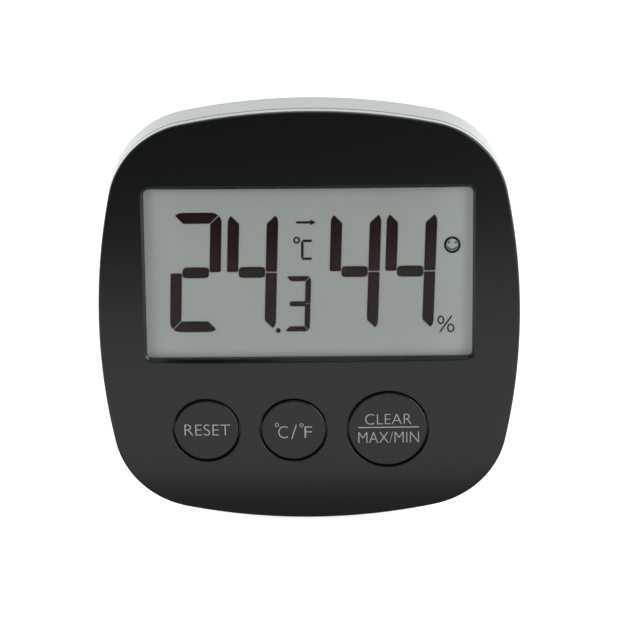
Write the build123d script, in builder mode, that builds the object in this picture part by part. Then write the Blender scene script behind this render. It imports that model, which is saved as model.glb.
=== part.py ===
from build123d import *
import os
from math import asin, atan2, cos, hypot, radians, sin, sqrt, tan

# A table-top thermometer and hygrometer: a pillow-shaped case with a dark crowned front
# panel, a recessed display, three round buttons, a battery bay behind a hinged door, two
# magnets, a hanging hole, side vents and a fold-out stand that it leans back on.
# Lengths are in millimetres and angles in degrees.

# Case outline: four long arcs joined by four tighter corner arcs
case_width = 76.0
case_height = 78.0
top_arc_radius = 112.0
side_arc_radius = 118.0
corner_radius = 16.5
wall = 1.6
lean_angle = 12.0
overrun = 1.0

# Case depths, counted forward and back from a level just behind the front frame's web
rim_depth = 2.1
rim_lip = 0.7
rim_lip_width = 0.8
rim_lip_gap = 0.1
panel_edge = 1.6
panel_crown = 0.7
panel_edge_round = 0.35
rear_depth = 15.4
rear_straight = 3.6
seam_level = 1.4
seam_gap = 0.18
seam_gap_depth = 0.7
frame_web = 1.2
tongue_depth = 1.3
tongue = 0.8
tongue_gap = 0.12

# Display window, lens and glass
window_side_margin = 8.6
window_top_margin = 14.27
window_button_gap = 6.36
window_corner = 1.0
window_chamfer = 0.45
lens_side_lap = 1.6
lens_end_lap = 1.9
lens_corner = 2.0
lens_thickness = 0.9
lens_side_gap = 0.25
tape_thickness = 0.1
gasket_thickness = 0.2
ring_band = 1.2
glass_inset = 0.3
glass_corner = 0.6
glass_thickness = 0.7
glass_side_gap = 0.3
film_thickness = 0.2
film_inset = 0.3
contact_ledge = 2.2

# Carrier that holds the glass, and the rubber connectors that join it to the board
carrier_wall = 1.2
carrier_corner = 4.0
carrier_gap = 0.1
carrier_shelf = 3.4
connector_width = 1.7
connector_end_inset = 4.7
connector_side_gap = 0.15

# Main board and what it carries
board_level = 1.1
board_thickness = 0.8
board_edge_gap = 1.3
board_post_gap = 0.5
board_post_radius = 2.0
board_post_side_inset = 6.5
board_post_side_rise = 26.0
board_post_top_inset = 7.1
board_post_low_inset = 5.8
board_pilot_radius = 0.65
board_screw_radius = 0.6
board_screw_gap = 0.15
board_screw_length = 2.6
board_head_radius = 1.6
board_head_height = 0.8
chip_radius = 5.0
chip_height = 1.2
chip_x = -9.0
chip_y = -14.0
crystal_radius = 1.0
crystal_length = 6.2
crystal_x = 4.0
crystal_y = -9.0
resistor_length = 1.6
resistor_width = 0.8
resistor_height = 0.5
resistor_pitch = 2.6
resistor_count = 5
resistor_x = 5.0
resistor_y = -15.0
capacitor_length = 2.0
capacitor_width = 1.25
capacitor_height = 0.95
capacitor_pitch = 3.2
capacitor_count = 3
capacitor_x = 6.0
capacitor_y = -19.0

# Humidity element on its upright board and the thermistor bead, both beside the vents
sensor_side_inset = 9.0
sensor_y = -2.6
sensor_width = 8.6
sensor_height = 7.0
sensor_thickness = 0.8
element_width = 6.0
element_height = 4.0
element_thickness = 0.6
bead_radius = 1.1
bead_side_inset = 9.0
bead_y = -8.9
bead_height = 5.0
bead_lead_radius = 0.22
bead_lead_spread = 1.0

# Buttons and the push switches under them
button_rise = 17.6
reset_hole_radius = 6.2
unit_hole_radius = 6.2
clear_hole_radius = 7.52
unit_x = -3.06
button_spacing = 3.45
button_gap = 0.34
button_flange_reach = 0.9
button_flange_thickness = 0.7
button_flange_gap = 0.05
button_side_gap = 0.25
button_top = 1.4
button_side = 1.2
button_stem_radius = 1.5
button_edge_round = 0.25
button_travel = 0.5
switch_width = 4.5
switch_height = 1.0
switch_base = 0.2
switch_rise = 0.65
plunger_radius = 1.0
plunger_gap = 0.08

# Screws through the rear shell into the front frame
top_post_spread = 18.0
top_post_inset = 7.4
low_post_side_inset = 10.0
low_post_end_inset = 11.0
post_radius = 2.7
post_depth = 1.4
post_shelf = 2.0
case_pilot_radius = 0.85
case_screw_radius = 0.8
case_screw_gap = 0.15
case_screw_length = 5.0
case_head_radius = 1.8
case_head_height = 1.3
case_head_gap = 0.2
screw_cross_width = 0.5
screw_cross_depth = 0.5

# Battery cell, its bay and contacts
cell_radius = 5.15
cell_length = 44.5
cell_nub_radius = 1.9
cell_nub_length = 1.0
cell_edge_round = 0.5
cell_rise = 10.0
cell_side_gap = 0.3
cell_floor_gap = 0.15
bay_floor = 0.7
bay_board_gap = 0.3
bay_wall = 1.6
contact_thickness = 0.3
contact_width = 8.0
contact_tail_width = 2.0
contact_slot_gap = 0.15
contact_dimple_radius = 1.5
contact_dimple_depth = 0.4
spring_length = 3.6
spring_wire_radius = 0.25
spring_base_radius = 3.5
spring_pitch = 1.0
spring_cone_angle = -22.0

# Battery door on two stub pins along its lower edge
door_height = 13.4
door_thickness = 1.6
door_corner = 1.0
door_end_cover = 1.3
door_side_margin = 0.35
door_gap = 0.15
door_seat_gap = 0.05
door_pin_radius = 0.45
door_pin_length = 0.7
door_pin_gap = 0.06
door_pin_end_gap = 0.15
door_rib_height = 0.3
door_rib_width = 1.0
door_rib_pitch = 9.0
door_rib_count = 5
door_tab_width = 9.0
door_tab_length = 1.2
door_grip_width = 0.5
door_grip_pitch = 1.3
door_grip_count = 4
door_grip_depth = 0.35

# Stand: a plate on two stub pins, which folds flat into the back
stand_width = 30.0
stand_length = 24.0
stand_thickness = 2.2
stand_barrel_radius = 1.5
stand_hinge_drop = 24.5
stand_corner = 3.0
stand_pin_radius = 1.1
stand_pin_length = 1.3
stand_pin_gap = 0.06
stand_pin_end_gap = 0.2
stand_side_gap = 0.3
stand_tip_gap = 0.5
stand_floor_gap = 0.25
stand_stop_gap = 0.06
stand_dish_margin = 3.5
stand_dish_depth = 0.6
recess_wall = 1.8
recess_floor = 1.2
pad_thickness = 0.8

# Magnets, hanging hole and vents
magnet_radius = 4.0
magnet_thickness = 2.0
magnet_gap = 0.1
magnet_spread = 20.6
magnet_drop = 13.0
magnet_wall = 1.0
hang_hole_radius = 3.5
hang_slot_radius = 1.9
hang_hole_rise = 22.7
hang_slot_rise = 27.0
hang_pocket_depth = 3.6
hang_pocket_margin = 0.6
hang_pocket_wall = 0.9
vent_width = 1.2
vent_length = 4.6
vent_pitch = 2.6
vent_count = 5
vent_drop = 5.2
vent_start = 3.4
vent_reach = 4.0

# Levels that follow from the sizes above
lean = radians(lean_angle)
half_width = case_width / 2
half_height = case_height / 2
button_drop = half_height - button_rise
window_width = case_width - 2 * window_side_margin
window_high = half_height - window_top_margin
window_low = clear_hole_radius - button_drop + window_button_gap
window_height = window_high - window_low
window_rise = (window_high + window_low) / 2
lens_width = window_width + 2 * lens_side_lap
lens_height = window_height + 2 * lens_end_lap
glass_width = lens_width - 2 * glass_inset
glass_height = lens_height - 2 * glass_inset
connector_length = glass_width - 2 * connector_end_inset
sensor_x = half_width - sensor_side_inset
bead_x = half_width - bead_side_inset
panel_top = rim_depth + panel_edge + panel_crown
crown_radius = (half_height**2 + panel_crown**2) / (2 * panel_crown)
frame_back = rim_depth - frame_web
tongue_inset = wall + tongue
film_top = rim_depth - gasket_thickness
front_glass_back = film_top - film_thickness - glass_thickness
rear_glass_back = front_glass_back - glass_thickness
reflector_back = rear_glass_back - film_thickness
rear_glass_height = glass_height - 2 * contact_ledge
board_back = -board_level - board_thickness
bay_top = board_back - bay_board_gap
bay_bottom = bay_top - bay_floor
cell_level = bay_bottom - cell_floor_gap - cell_radius
door_level = -rear_depth + door_thickness
bay_length = cell_length + spring_length + 2 * contact_thickness + contact_dimple_depth
bay_height = 2 * (cell_radius + cell_side_gap)
door_length = bay_length + 2 * door_end_cover
door_pin_y = cell_rise - door_height / 2 + door_thickness / 2
door_pin_level = -rear_depth + door_thickness / 2
flange_back = rim_depth - button_flange_gap - button_flange_thickness
switch_top = switch_height - board_level
plunger_top = switch_top + switch_rise

# The rounding of the rear edge leaves a straight side, and a flat back as wide as the door
rear_round = min(
    rear_depth - rear_straight, half_width - door_length / 2 - door_side_margin
)

# The lowest point of the leaning case is on the rounding of its lower rear edge
straight_depth = rear_depth - rear_round
case_lift = (half_height - rear_round) * cos(lean) + straight_depth * sin(lean) + rear_round

# The stand opens until the flat pad at its tip meets the table
hinge_level = -rear_depth + stand_barrel_radius
hinge_lift = case_lift - stand_hinge_drop * cos(lean) + hinge_level * sin(lean)
stand_upper = stand_thickness - stand_barrel_radius
stand_slope = asin((hinge_lift - pad_thickness) / hypot(stand_length, stand_upper))
stand_slope += atan2(stand_upper, stand_length)
stand_over = stand_slope - lean
stand_stop = stand_barrel_radius / cos(stand_over) + stand_barrel_radius * tan(stand_over)


def stand_run(height, side):
    """How far along the stand one of its faces comes down to a height over the table."""
    return (hinge_lift - height + side * cos(stand_slope)) / sin(stand_slope)


pad_tip = stand_run(0, stand_upper)

# Front and rear reach of the leaning object, so that its footprint is centred
front_round_y = half_height - panel_edge_round
front_round_level = rim_depth + panel_edge - panel_edge_round
front_reach = front_round_y * sin(lean) + front_round_level * cos(lean) + panel_edge_round
hinge_reach = -stand_hinge_drop * sin(lean) - hinge_level * cos(lean)
rear_reach = hinge_reach + pad_tip * cos(stand_slope) + stand_upper * sin(stand_slope)
case_shift = (front_reach - rear_reach) / 2

# The case's own frame: x to the right, y up the face, z out of the face
case_plane = Plane(
    origin=(0, case_shift, case_lift), x_dir=(1, 0, 0), z_dir=(0, -cos(lean), sin(lean))
)
front_axis = Axis(case_plane.origin, case_plane.z_dir)

# The stand's own frames at its hinge: one across its thickness, one along its plate
hinge_point = case_plane.from_local_coords((0, -stand_hinge_drop, hinge_level))
stand_section = Plane(
    origin=hinge_point, x_dir=(0, cos(stand_slope), -sin(stand_slope)), z_dir=(1, 0, 0)
)
stand_face = Plane(
    origin=hinge_point, x_dir=(1, 0, 0), z_dir=(0, sin(stand_slope), cos(stand_slope))
)

# Centres of the three buttons, with equal gaps between their holes
reset_x = unit_x - unit_hole_radius - button_spacing - reset_hole_radius
clear_x = unit_x + unit_hole_radius + button_spacing + clear_hole_radius
buttons = {
    "reset": (reset_x, reset_hole_radius),
    "unit": (unit_x, unit_hole_radius),
    "clear": (clear_x, clear_hole_radius),
}

# Places of the screws
low_post_spread = half_width - low_post_side_inset
case_posts = [
    (-top_post_spread, half_height - top_post_inset),
    (top_post_spread, half_height - top_post_inset),
    (-low_post_spread, low_post_end_inset - half_height),
    (low_post_spread, low_post_end_inset - half_height),
]
board_post_spread = half_width - board_post_side_inset
board_posts = [
    (0, half_height - board_post_top_inset),
    (0, board_post_low_inset - half_height),
    (-board_post_spread, board_post_side_rise - half_height),
    (board_post_spread, board_post_side_rise - half_height),
]


def level(depth):
    """The plane of the case at one depth, in front of the seam if positive."""
    return case_plane.offset(depth)


def side_plane(x):
    """The plane across the case at x, drawn in the case's height and depth."""
    origin = case_plane.from_local_coords((x, 0, 0))
    return Plane(origin=origin, x_dir=case_plane.y_dir, z_dir=case_plane.x_dir)


def reach(x, y, toward_x, toward_y, distance):
    """The point at a distance from x, y in the given direction."""
    length = hypot(toward_x, toward_y)
    return x + toward_x / length * distance, y + toward_y / length * distance


def case_outline(inset=0, mode=Mode.ADD):
    """Draws the case outline, or a line inside it, as a face of the current sketch."""
    top_centre = half_height - top_arc_radius
    side_centre = half_width - side_arc_radius
    top_reach = top_arc_radius - corner_radius
    side_reach = side_arc_radius - corner_radius

    # The corner's centre lies where both long arcs leave room for its radius
    span = hypot(side_centre, top_centre)
    along = (span**2 + top_reach**2 - side_reach**2) / (2 * span)
    off = sqrt(top_reach**2 - along**2)
    corner_x, corner_y = reach(0, top_centre, side_centre, -top_centre, along)
    corner_x, corner_y = reach(corner_x, corner_y, -top_centre, -side_centre, off)

    top_x, top_y = reach(
        0, top_centre, corner_x, corner_y - top_centre, top_arc_radius - inset
    )
    side_x, side_y = reach(
        side_centre, 0, corner_x - side_centre, corner_y, side_arc_radius - inset
    )
    mid_x, mid_y = reach(
        corner_x, corner_y, top_x + side_x - 2 * corner_x, top_y + side_y - 2 * corner_y,
        corner_radius - inset,
    )
    with BuildLine() as outline:
        for sign in (1, -1):
            ThreePointArc(
                (-top_x, sign * top_y), (0, sign * (half_height - inset)), (top_x, sign * top_y)
            )
            ThreePointArc(
                (sign * side_x, -side_y), (sign * (half_width - inset), 0), (sign * side_x, side_y)
            )
            for turn in (1, -1):
                ThreePointArc(
                    (sign * top_x, turn * top_y),
                    (sign * mid_x, turn * mid_y),
                    (sign * side_x, turn * side_y),
                )
    make_face(outline.edges(), mode=mode)


def crown_cut():
    """Trims the current part with the shallow dome that the front follows."""
    with Locations(level(panel_top - crown_radius)):
        Sphere(crown_radius, rotation=(90, 0, 0), mode=Mode.INTERSECT)


def display_block(back, width, height, thickness, corner):
    """Adds a flat block behind the window to the current part, from its back forward."""
    with BuildSketch(level(back)) as outline:
        with Locations((0, window_rise)):
            RectangleRounded(width, height, corner)
    extrude(outline.sketch, amount=thickness)


def display_ring(back, thickness, width, height):
    """Adds a thin ring round the window to the current part."""
    with BuildSketch(level(back)) as ring:
        with Locations((0, window_rise)):
            RectangleRounded(width, height, lens_corner)
            RectangleRounded(
                width - 2 * ring_band, height - 2 * ring_band, glass_corner, mode=Mode.SUBTRACT
            )
    extrude(ring.sketch, amount=thickness)


def round_pegs(depth, centres, radius, amount, mode=Mode.ADD):
    """Adds or cuts round pegs at the given centres, from one depth by an amount."""
    with BuildSketch(level(depth)) as circles:
        with Locations(centres):
            Circle(radius)
    extrude(circles.sketch, amount=amount, mode=mode)


def block(depth, centre, width, height, amount, mode=Mode.ADD):
    """Adds or cuts a straight block, from one depth by an amount."""
    with BuildSketch(level(depth)) as rectangle:
        with Locations(centre):
            Rectangle(width, height)
    extrude(rectangle.sketch, amount=amount, mode=mode)


def door_outline(gap=0):
    """Draws the battery door's outline, grown by a gap, in the current sketch."""
    length = door_length + 2 * gap
    height = door_height + 2 * gap
    with Locations((0, cell_rise)):
        RectangleRounded(length, height, door_corner + gap)
    with Locations((0, cell_rise - height / 2)):
        Rectangle(length, height / 2, align=(Align.CENTER, Align.MIN))
    with Locations((0, cell_rise)):
        Rectangle(
            door_tab_width + 2 * gap,
            height / 2 + door_tab_length,
            align=(Align.CENTER, Align.MIN),
        )


def cross_head_screws(back, centres, shank_radius, length, head_radius, head_height):
    """Adds screws that point forward, their heads behind the given depth."""
    round_pegs(back, centres, shank_radius, length)
    round_pegs(back, centres, head_radius, -head_height)
    with BuildSketch(level(back - head_height)) as crosses:
        with Locations(centres):
            Rectangle(head_radius, screw_cross_width)
            Rectangle(screw_cross_width, head_radius)
    extrude(crosses.sketch, amount=screw_cross_depth, mode=Mode.SUBTRACT)


def stand_trim():
    """Rounds the tip corners of the current part, seen square to the stand's plate."""
    with BuildSketch(stand_face) as outline:
        RectangleRounded(stand_width, 2 * pad_tip, stand_corner)
    extrude(outline.sketch, amount=stand_thickness, both=True, mode=Mode.INTERSECT)


def save(piece, name):
    """Labels a finished piece and writes it under its own name."""
    piece.part.label = name
    export_step(piece.part, f"parts/{name}.step")


os.makedirs("parts", exist_ok=True)

# Front panel: dark and crowned, with the display window and the button holes
with BuildPart() as front_panel:
    with BuildSketch(level(rim_depth)):
        case_outline(rim_lip_width + rim_lip_gap)
    extrude(amount=rim_lip)
    with BuildSketch(level(rim_depth + rim_lip)):
        case_outline()
    extrude(amount=panel_edge + panel_crown - rim_lip)
    crown_cut()
    fillet(front_panel.faces().sort_by(front_axis)[-1].edges(), panel_edge_round)
    with BuildSketch(level(rim_depth)):
        with Locations((0, window_rise)):
            RectangleRounded(window_width, window_height, window_corner)
    extrude(amount=panel_edge + panel_crown, mode=Mode.SUBTRACT)
    window_rim = front_panel.faces().filter_by(GeomType.SPHERE)[0].inner_wires()[0]
    chamfer(window_rim.edges(), window_chamfer)
    for x, radius in buttons.values():
        round_pegs(
            rim_depth, [(x, -button_drop)], radius, panel_edge + panel_crown, Mode.SUBTRACT
        )
    with BuildSketch(level(rim_depth)):
        with Locations((0, window_rise)):
            RectangleRounded(
                lens_width + 2 * lens_side_gap, lens_height + 2 * lens_side_gap, lens_corner
            )
    extrude(amount=lens_thickness + tape_thickness, mode=Mode.SUBTRACT)
save(front_panel, "front_panel")

# Front frame: the pale rim and its lip round the panel, the web, the tongue at the seam,
# and a step that leaves a fine dark line between rim and shell
with BuildPart() as front_frame:
    with BuildSketch(level(seam_level + seam_gap)):
        case_outline()
    extrude(amount=rim_depth + rim_lip - seam_level - seam_gap)
    with BuildSketch(level(rim_depth)):
        case_outline(rim_lip_width)
    extrude(amount=rim_lip, mode=Mode.SUBTRACT)
    with BuildSketch(level(seam_level)):
        case_outline(seam_gap_depth)
    extrude(amount=seam_gap)
    with BuildSketch(level(seam_level)):
        case_outline(wall + tongue_gap)
    extrude(amount=-seam_level - tongue_depth)
    with BuildSketch(level(-tongue_depth)):
        case_outline(tongue_inset)
    extrude(amount=tongue_depth + frame_back, mode=Mode.SUBTRACT)
    round_pegs(-post_depth, case_posts, post_radius, post_depth + frame_back)
    round_pegs(-board_level, board_posts, board_post_radius, board_level + frame_back)
    pilot_depth = case_screw_length - post_shelf
    round_pegs(-post_depth, case_posts, case_pilot_radius, pilot_depth, Mode.SUBTRACT)
    pilot_depth = board_screw_length - board_thickness
    round_pegs(-board_level, board_posts, board_pilot_radius, pilot_depth, Mode.SUBTRACT)
    with BuildSketch(level(frame_back)):
        with Locations((0, window_rise)):
            RectangleRounded(
                glass_width + 2 * glass_side_gap, glass_height + 2 * glass_side_gap, glass_corner
            )
        for x, radius in buttons.values():
            with Locations((x, -button_drop)):
                Circle(radius + button_flange_reach + button_side_gap)
    extrude(amount=frame_web, mode=Mode.SUBTRACT)
save(front_frame, "front_frame")

# Display: the lens, its tape and gasket, and the stack of glass and film
with BuildPart() as display_lens:
    display_block(rim_depth, lens_width, lens_height, lens_thickness, lens_corner)
save(display_lens, "display_lens")

with BuildPart() as lens_tape:
    display_ring(rim_depth + lens_thickness, tape_thickness, lens_width, lens_height)
save(lens_tape, "lens_tape")

with BuildPart() as display_gasket:
    display_ring(film_top, gasket_thickness, glass_width, glass_height)
save(display_gasket, "display_gasket")

with BuildPart() as front_film:
    display_block(
        film_top - film_thickness,
        glass_width - 2 * film_inset,
        glass_height - 2 * film_inset,
        film_thickness,
        glass_corner,
    )
save(front_film, "display_front_film")

with BuildPart() as front_glass:
    display_block(front_glass_back, glass_width, glass_height, glass_thickness, glass_corner)
save(front_glass, "display_front_glass")

with BuildPart() as rear_glass:
    display_block(rear_glass_back, glass_width, rear_glass_height, glass_thickness, glass_corner)
save(rear_glass, "display_rear_glass")

with BuildPart() as reflector:
    display_block(
        reflector_back,
        glass_width - 2 * film_inset,
        rear_glass_height - 2 * film_inset,
        film_thickness,
        glass_corner,
    )
save(reflector, "display_reflector")

# Carrier: a shelf behind the glass, a wall round it and a slot for each connector
carrier_width = glass_width + 2 * (glass_side_gap + carrier_wall)
carrier_height = glass_height + 2 * (glass_side_gap + carrier_wall)
connector_offset = (glass_height - contact_ledge) / 2
with BuildPart() as display_carrier:
    display_block(
        -board_level,
        carrier_width,
        carrier_height,
        board_level + frame_back - carrier_gap,
        carrier_corner,
    )
    with BuildSketch(level(reflector_back)):
        with Locations((0, window_rise)):
            RectangleRounded(
                glass_width + 2 * glass_side_gap, glass_height + 2 * glass_side_gap, glass_corner
            )
    extrude(amount=frame_back, mode=Mode.SUBTRACT)
    with BuildSketch(level(-board_level)):
        with Locations((0, window_rise)):
            RectangleRounded(
                glass_width - 2 * carrier_shelf, glass_height - 2 * carrier_shelf, glass_corner
            )
        with Locations(
            (0, window_rise + connector_offset), (0, window_rise - connector_offset)
        ):
            Rectangle(
                connector_length + 2 * connector_side_gap, connector_width + 2 * connector_side_gap
            )
    extrude(amount=board_level + reflector_back, mode=Mode.SUBTRACT)
save(display_carrier, "display_carrier")

for name, side in (("upper", 1), ("lower", -1)):
    with BuildPart() as connector:
        block(
            -board_level,
            (0, window_rise + side * connector_offset),
            connector_length,
            connector_width,
            board_level + front_glass_back,
        )
    save(connector, f"{name}_connector")

# Main board, notched round the case posts
with BuildPart() as circuit_board:
    with BuildSketch(level(-board_level)):
        case_outline(tongue_inset + board_edge_gap)
        with Locations(case_posts):
            Circle(post_radius + board_post_gap, mode=Mode.SUBTRACT)
        with Locations(board_posts):
            Circle(board_screw_radius + board_screw_gap, mode=Mode.SUBTRACT)
    extrude(amount=-board_thickness)
save(circuit_board, "circuit_board")

with BuildPart() as board_screws:
    cross_head_screws(
        board_back,
        board_posts,
        board_screw_radius,
        board_screw_length,
        board_head_radius,
        board_head_height,
    )
save(board_screws, "board_screws")

with BuildPart() as controller_chip:
    round_pegs(board_back, [(chip_x, chip_y)], chip_radius, -chip_height)
    fillet(controller_chip.faces().sort_by(front_axis)[0].edges(), chip_height / 2)
save(controller_chip, "controller_chip")

with BuildPart() as timing_crystal:
    with BuildSketch(side_plane(crystal_x)):
        with Locations((crystal_y, board_back - crystal_radius)):
            Circle(crystal_radius)
    extrude(amount=crystal_length)
save(timing_crystal, "timing_crystal")

with BuildPart() as resistors:
    with BuildSketch(level(board_back)):
        with Locations((resistor_x + resistor_pitch * (resistor_count - 1) / 2, resistor_y)):
            with GridLocations(resistor_pitch, 0, resistor_count, 1):
                Rectangle(resistor_length, resistor_width)
    extrude(amount=-resistor_height)
save(resistors, "resistors")

with BuildPart() as capacitors:
    with BuildSketch(level(board_back)):
        with Locations((capacitor_x + capacitor_pitch * (capacitor_count - 1) / 2, capacitor_y)):
            with GridLocations(capacitor_pitch, 0, capacitor_count, 1):
                Rectangle(capacitor_length, capacitor_width)
    extrude(amount=-capacitor_height)
save(capacitors, "capacitors")

# Sensors beside the right vents
sensor_level = board_back - sensor_height / 2
with BuildPart() as sensor_board:
    with BuildSketch(side_plane(sensor_x)):
        with Locations((sensor_y, sensor_level)):
            Rectangle(sensor_width, sensor_height)
    extrude(amount=sensor_thickness)
save(sensor_board, "sensor_board")

with BuildPart() as humidity_element:
    with BuildSketch(side_plane(sensor_x + sensor_thickness)):
        with Locations((sensor_y, sensor_level)):
            RectangleRounded(element_width, element_height, element_thickness)
    extrude(amount=element_thickness)
save(humidity_element, "humidity_element")

with BuildPart() as thermistor:
    with Locations(case_plane.from_local_coords((bead_x, bead_y, board_back - bead_height))):
        Sphere(bead_radius)
    round_pegs(
        board_back,
        [(bead_x - bead_lead_spread / 2, bead_y), (bead_x + bead_lead_spread / 2, bead_y)],
        bead_lead_radius,
        -bead_height,
    )
save(thermistor, "thermistor")

# Each button is a hollow cap with a flange behind the panel and a stem over its switch
hollow_depth = panel_top - panel_crown - button_top - flange_back
stem_foot = plunger_top + plunger_gap
plunger_foot = switch_base - board_level + button_travel + plunger_gap
for name, (x, radius) in buttons.items():
    centre = [(x, -button_drop)]
    cap_radius = radius - button_gap
    with BuildPart() as button:
        round_pegs(flange_back, centre, cap_radius, panel_top - flange_back)
        crown_cut()
        fillet(button.faces().sort_by(front_axis)[-1].edges(), button_edge_round)
        round_pegs(flange_back, centre, radius + button_flange_reach, button_flange_thickness)
        round_pegs(flange_back, centre, cap_radius - button_side, hollow_depth, Mode.SUBTRACT)
        stem_length = flange_back + hollow_depth - stem_foot
        round_pegs(stem_foot, centre, button_stem_radius, stem_length)
    save(button, f"{name}_button")

    with BuildPart() as switch:
        block(-board_level, centre[0], switch_width, switch_width, switch_height)
        round_pegs(
            switch_base - board_level,
            centre,
            plunger_radius + plunger_gap,
            switch_height - switch_base,
            Mode.SUBTRACT,
        )
    save(switch, f"{name}_switch")

    with BuildPart() as plunger:
        round_pegs(plunger_foot, centre, plunger_radius, plunger_top - plunger_foot)
    save(plunger, f"{name}_plunger")

# Rear shell: the rounded outside, the inside that is taken out of it, and what stands in it
with BuildPart() as rear_outside:
    with BuildSketch(level(seam_level)):
        case_outline()
    extrude(amount=-seam_level - rear_depth)
    fillet(rear_outside.faces().sort_by(front_axis)[0].edges(), rear_round)

with BuildPart() as rear_inside:
    with BuildSketch(level(seam_level + overrun)):
        case_outline(wall)
    extrude(amount=wall - rear_depth - seam_level - overrun)
    fillet(rear_inside.faces().sort_by(front_axis)[0].edges(), rear_round - wall)

recess_low = -stand_hinge_drop - stand_stop - stand_stop_gap
recess_high = -stand_hinge_drop + pad_tip + stand_tip_gap
recess_y = (recess_low + recess_high) / 2
recess_height = recess_high - recess_low
recess_width = stand_width + 2 * stand_side_gap
barrel_high = -stand_hinge_drop + stand_barrel_radius + stand_floor_gap
barrel_level = hinge_level + stand_barrel_radius + stand_floor_gap
plate_level = hinge_level + stand_upper + stand_floor_gap
hang_pocket_width = 2 * (hang_hole_radius + hang_pocket_margin)
hang_pocket_low = hang_hole_rise - hang_hole_radius - hang_pocket_margin
hang_pocket_height = hang_slot_rise + hang_slot_radius + hang_pocket_margin - hang_pocket_low
hang_pocket_centre = (0, hang_pocket_low + hang_pocket_height / 2)
hang_pocket_level = wall - rear_depth + hang_pocket_depth
magnet_centres = [(-magnet_spread, -magnet_drop), (magnet_spread, -magnet_drop)]
magnet_boss_radius = magnet_radius + magnet_gap + magnet_wall
with BuildPart() as rear_ribs:
    round_pegs(-post_depth, case_posts, post_radius, post_depth - rear_depth)
    block(
        bay_top,
        (0, cell_rise),
        bay_length + 2 * bay_wall,
        bay_height + 2 * bay_wall,
        -rear_depth - bay_top,
    )
    block(
        barrel_level + recess_floor,
        (0, recess_y),
        recess_width + 2 * recess_wall,
        recess_height + 2 * recess_wall,
        -rear_depth - barrel_level - recess_floor,
    )
    block(
        hang_pocket_level + hang_pocket_wall,
        hang_pocket_centre,
        hang_pocket_width + 2 * hang_pocket_wall,
        hang_pocket_height + 2 * hang_pocket_wall,
        -rear_depth - hang_pocket_level - hang_pocket_wall,
    )
    round_pegs(
        -rear_depth, magnet_centres, magnet_boss_radius, magnet_thickness + magnet_wall
    )
    add(rear_outside.part, mode=Mode.INTERSECT)

with BuildPart() as rear_shell:
    add(rear_outside.part)
    add(rear_inside.part, mode=Mode.SUBTRACT)
    add(rear_ribs.part)
    # Wells and clearance holes for the case screws
    shank_hole = case_screw_radius + case_screw_gap
    head_well = case_head_radius + case_head_gap
    round_pegs(-post_depth, case_posts, shank_hole, -rear_depth, Mode.SUBTRACT)
    round_pegs(-post_depth - post_shelf, case_posts, head_well, -rear_depth, Mode.SUBTRACT)
    # Battery bay, the door's seat, its pin holes and the slots for the contact tails
    block(bay_bottom, (0, cell_rise), bay_length, bay_height, -rear_depth, Mode.SUBTRACT)
    with BuildSketch(level(door_level + door_seat_gap)):
        door_outline(door_gap)
    extrude(amount=-door_thickness - overrun, mode=Mode.SUBTRACT)
    pin_run = door_length + 2 * (door_pin_length + door_pin_end_gap)
    with BuildSketch(side_plane(-pin_run / 2)):
        with Locations((door_pin_y, door_pin_level)):
            Circle(door_pin_radius + door_pin_gap)
    extrude(amount=pin_run, mode=Mode.SUBTRACT)
    for side in (-1, 1):
        block(
            bay_top,
            (side * (bay_length - contact_thickness) / 2, cell_rise),
            contact_thickness + 2 * contact_slot_gap,
            contact_tail_width + 2 * contact_slot_gap,
            -bay_floor,
            Mode.SUBTRACT,
        )
    # Recess for the stand, deeper along its barrel, with a blind hole for each pin
    block(plate_level, (0, recess_y), recess_width, recess_height, -rear_depth, Mode.SUBTRACT)
    block(
        barrel_level,
        (0, (recess_low + barrel_high) / 2),
        recess_width,
        barrel_high - recess_low,
        -rear_depth,
        Mode.SUBTRACT,
    )
    pin_run = stand_width + 2 * (stand_pin_length + stand_pin_end_gap)
    with BuildSketch(side_plane(-pin_run / 2)):
        with Locations((-stand_hinge_drop, hinge_level)):
            Circle(stand_pin_radius + stand_pin_gap)
    extrude(amount=pin_run, mode=Mode.SUBTRACT)
    # Magnet pockets and the keyhole with its pocket
    round_pegs(
        -rear_depth, magnet_centres, magnet_radius + magnet_gap, magnet_thickness, Mode.SUBTRACT
    )
    block(
        hang_pocket_level,
        hang_pocket_centre,
        hang_pocket_width,
        hang_pocket_height,
        -hang_pocket_depth,
        Mode.SUBTRACT,
    )
    with BuildSketch(level(-rear_depth)):
        with Locations((0, hang_hole_rise)):
            Circle(hang_hole_radius)
        with Locations((0, (hang_hole_rise + hang_slot_rise) / 2)):
            SlotCenterToCenter(hang_slot_rise - hang_hole_rise, 2 * hang_slot_radius, rotation=90)
    extrude(amount=wall, mode=Mode.SUBTRACT)
    # Side vents
    for side in (-1, 1):
        with BuildSketch(side_plane(side * (half_width - vent_reach))):
            with Locations((-vent_drop, -vent_start - vent_length / 2)):
                with GridLocations(vent_pitch, 0, vent_count, 1):
                    SlotOverall(vent_length, vent_width, rotation=90)
        extrude(amount=side * (vent_reach + overrun), mode=Mode.SUBTRACT)
save(rear_shell, "rear_shell")

with BuildPart() as case_screws:
    cross_head_screws(
        -post_depth - post_shelf,
        case_posts,
        case_screw_radius,
        case_screw_length,
        case_head_radius,
        case_head_height,
    )
save(case_screws, "case_screws")

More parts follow.
